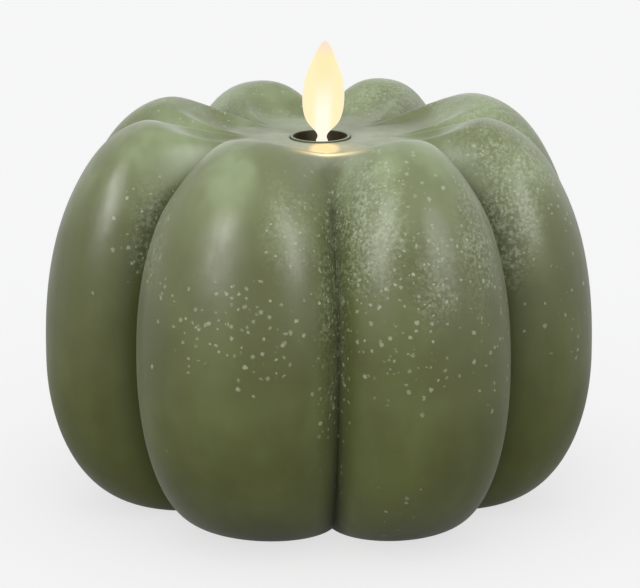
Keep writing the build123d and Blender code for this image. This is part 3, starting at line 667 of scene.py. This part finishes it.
# the world's strength below, round and above the pumpkin, and the heights of the direction between them
WORLD_LOW = 0.08
WORLD_HIGH = 0.80
WORLD_TOP = 0.62
WORLD_LOW_TO_HIGH = (-0.40, -0.02)
WORLD_HIGH_TO_TOP = (0.35, 1.0)
WORLD_COLOUR = (0.98, 0.99, 1.0, 1.0)
FLOOR_HALF = 3.0
FLOOR_GREYS = (rgb(144, 144, 144), rgb(147, 147, 147))
FLOOR_GLOW = 0.69
FLOOR_SUN = 0.60
FLOOR_SUN_WIDTH = math.radians(50)
SOFTBOXES = [("left_softbox", -40, 5.2), ("right_softbox", 44, 3.7)]    # azimuth in degrees, watts
SOFTBOX_ELEVATION = 30
SOFTBOX_DISTANCE = 1.1
SOFTBOX_SIZE = (0.42, 0.56)
SOFTBOX_AIM = Vector((0.0, 0.0, 0.06))
COLLAR_LAMP_AT = (0.001, -0.004, 0.116)
COLLAR_LAMP_POWER = 0.0015
COLLAR_LAMP_RADIUS = 0.002
COLLAR_LAMP_COLOUR = (1.0, 0.62, 0.26)


def add_camera():
    data = bpy.data.cameras.new("camera")
    data.lens = CAMERA_LENS
    data.sensor_width = CAMERA_SENSOR
    data.clip_start = CAMERA_CLIP
    camera = bpy.data.objects.new("camera", data)
    bpy.context.scene.collection.objects.link(camera)
    spot = Vector((0.0, -math.cos(CAMERA_ELEVATION), math.sin(CAMERA_ELEVATION))) * CAMERA_DISTANCE
    spot += Vector((SKIN_SHIFT_X * MM, 0.0, CAMERA_PIVOT_Z))
    turn = (CAMERA_AIM - spot).to_track_quat("-Z", "Y").to_matrix().to_4x4()
    camera.matrix_world = Matrix.Translation(spot) @ turn @ Matrix.Rotation(CAMERA_ROLL, 4, "Z")
    bpy.context.scene.camera = camera


def light_only(light, objects):
    group = bpy.data.collections.new(light.name + "_receivers")
    for item in objects:
        group.objects.link(item)
    light.light_linking.receiver_collection = group


def add_softbox(name, azimuth, power):
    """A softbox that faces the pumpkin. Azimuth 0 is the front, 90 the right."""
    data = bpy.data.lights.new(name, "AREA")
    data.shape = "RECTANGLE"
    data.size, data.size_y = SOFTBOX_SIZE
    data.energy = power
    light = bpy.data.objects.new(name, data)
    bpy.context.scene.collection.objects.link(light)
    a = math.radians(azimuth)
    e = math.radians(SOFTBOX_ELEVATION)
    towards = Vector((math.sin(a) * math.cos(e), -math.cos(a) * math.cos(e), math.sin(e)))
    spot = SOFTBOX_AIM + towards * SOFTBOX_DISTANCE
    light.location = spot
    light.rotation_euler = (SOFTBOX_AIM - spot).to_track_quat("-Z", "Y").to_euler()
    light.visible_camera = False
    return light


def add_collar_lamp():
    """The warm light that the lit flame throws on the collar round it."""
    data = bpy.data.lights.new("flame_glow", "POINT")
    data.energy = COLLAR_LAMP_POWER
    data.color = COLLAR_LAMP_COLOUR
    data.shadow_soft_size = COLLAR_LAMP_RADIUS
    glow = bpy.data.objects.new("flame_glow", data)
    bpy.context.scene.collection.objects.link(glow)
    glow.location = COLLAR_LAMP_AT
    glow.visible_camera = False
    light_only(glow, [NODES["flame_collar"]])


def add_floor():
    h = FLOOR_HALF
    mesh = bpy.data.meshes.new("floor")
    mesh.from_pydata([(-h, -h, 0), (h, -h, 0), (h, h, 0), (-h, h, 0)], [], [(0, 1, 2, 3)])
    mesh.materials.append(floor_material())
    floor = bpy.data.objects.new("floor", mesh)
    floor.visible_diffuse = False
    floor.visible_glossy = False
    bpy.context.scene.collection.objects.link(floor)
    return floor


def add_floor_sun(floor):
    """A wide even light from straight above, for the floor alone."""
    data = bpy.data.lights.new("floor_sun", "SUN")
    data.energy = FLOOR_SUN
    data.angle = FLOOR_SUN_WIDTH
    sun = bpy.data.objects.new("floor_sun", data)
    bpy.context.scene.collection.objects.link(sun)
    light_only(sun, [floor])


def height_ramp(tree, height, span, low, high):
    node = tree.nodes.new("ShaderNodeMapRange")
    node.inputs["From Min"].default_value, node.inputs["From Max"].default_value = span
    node.inputs["To Min"].default_value = low
    node.inputs["To Max"].default_value = high
    tree.links.new(height, node.inputs["Value"])
    return node.outputs["Result"]


def add_world():
    """An even pale studio: dim below, so that the foot darkens, and a little dimmer straight above."""
    world = bpy.data.worlds.new("studio")
    world.use_nodes = True
    tree = world.node_tree
    direction = tree.nodes.new("ShaderNodeTexCoord")
    parts = tree.nodes.new("ShaderNodeSeparateXYZ")
    tree.links.new(direction.outputs["Generated"], parts.inputs[0])
    height = parts.outputs["Z"]
    both = tree.nodes.new("ShaderNodeMath")
    both.operation = "MULTIPLY"
    level = height_ramp(tree, height, WORLD_LOW_TO_HIGH, WORLD_LOW, WORLD_HIGH)
    tree.links.new(level, both.inputs[0])
    tree.links.new(height_ramp(tree, height, WORLD_HIGH_TO_TOP, 1.0, WORLD_TOP), both.inputs[1])
    background = tree.nodes["Background"]
    background.inputs["Color"].default_value = WORLD_COLOUR
    tree.links.new(both.outputs[0], background.inputs["Strength"])
    bpy.context.scene.world = world


def main():
    add_camera()
    wax = bpy.data.objects.new("wax_pumpkin", wax_mesh())
    bpy.context.scene.collection.objects.link(wax)
    wax.data.materials.append(wax_material())
    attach(wax, "candle")
    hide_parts("wax_body")
    dress_nodes()
    add_floor_sun(add_floor())
    add_world()
    lit = [wax] + list(NODES.values())
    for name, azimuth, power in SOFTBOXES:
        light_only(add_softbox(name, azimuth, power), lit)
    add_collar_lamp()
    bpy.context.scene.view_settings.view_transform = "Standard"


main()
